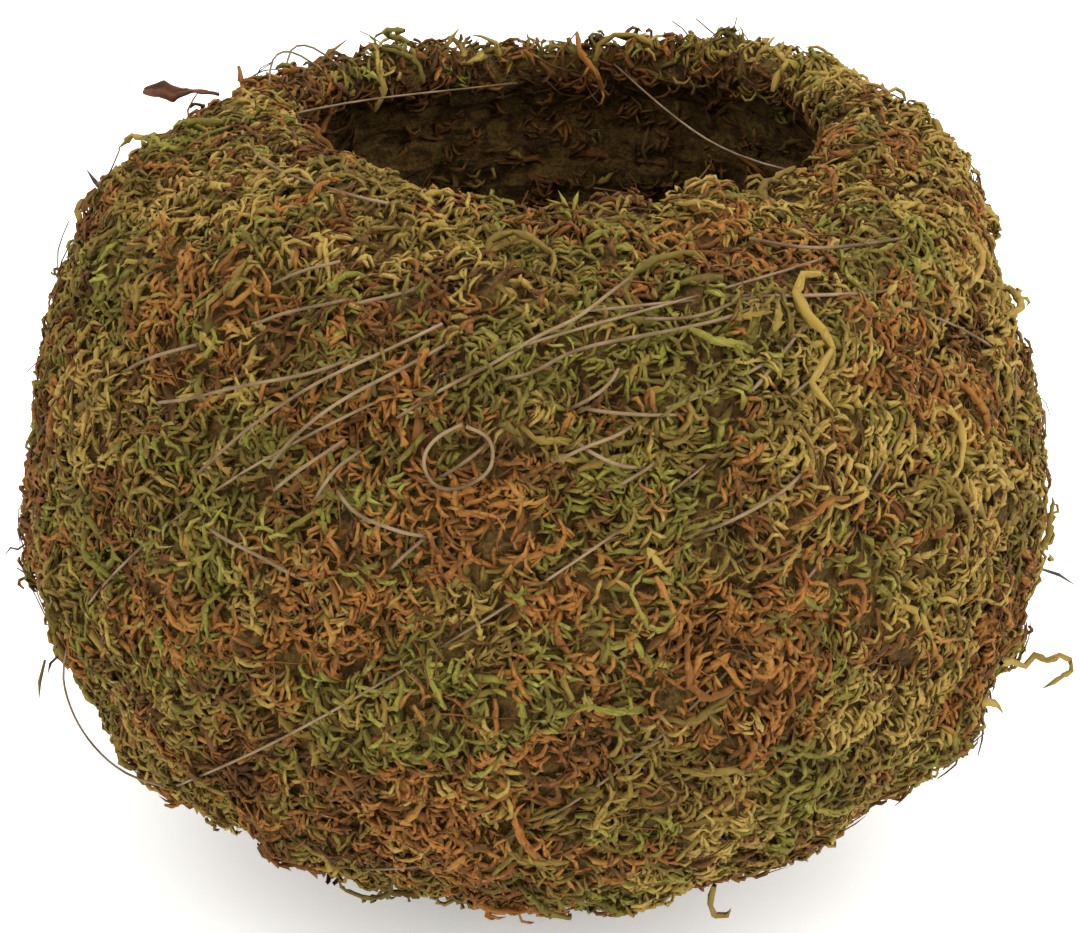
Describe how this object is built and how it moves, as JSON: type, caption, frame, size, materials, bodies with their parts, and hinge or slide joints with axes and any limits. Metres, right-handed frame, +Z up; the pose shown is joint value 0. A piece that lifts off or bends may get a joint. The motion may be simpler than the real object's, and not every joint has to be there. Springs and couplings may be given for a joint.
{
  "type": "kokedama moss ball planter",
  "caption": "Hollow ball of dried moss with a round open mouth for a plant, pressed tufts in several colours and a fine wound binding thread.",
  "frame": {"origin": "the middle of the small flat spot that the ball rests on", "axes": "+Z up out of the mouth, -Y the front that the picture shows, +X to its right"},
  "size_m": [0.172, 0.1628, 0.1174],
  "materials": {
    "olive_moss": "matt, fibrous, olive to yellow-green strands over dark gaps",
    "green_moss": "matt, fibrous, brighter green",
    "rust_moss": "matt, fibrous, orange-brown",
    "straw_moss": "matt, fibrous, pale tan",
    "thread": "thin dull twine with a slight gloss",
    "bark": "rough dark bark and dried stalk"
  },
  "bodies": {
    "root": {"moss_wall": "olive_moss", "rust_tuft_1": "rust_moss", "rust_tuft_2": "rust_moss", "rust_tuft_3": "rust_moss", "rust_tuft_4": "rust_moss", "rust_tuft_5": "rust_moss", "rust_tuft_6": "rust_moss", "rust_tuft_7": "rust_moss", "rust_tuft_8": "rust_moss", "green_tuft_1": "green_moss", "green_tuft_2": "green_moss", "green_tuft_3": "green_moss", "green_tuft_4": "green_moss", "green_tuft_5": "green_moss", "green_tuft_6": "green_moss", "green_tuft_7": "green_moss", "green_tuft_8": "green_moss", "straw_tuft_1": "straw_moss", "straw_tuft_2": "straw_moss", "straw_tuft_3": "straw_moss", "straw_tuft_4": "straw_moss", "straw_tuft_5": "straw_moss", "straw_tuft_6": "straw_moss", "binding_thread": "thread", "bark_flake": "bark", "dry_stalk_1": "bark", "dry_stalk_2": "bark", "dry_stalk_3": "bark", "dry_stalk_4": "bark"}
  },
  "joints": []
}
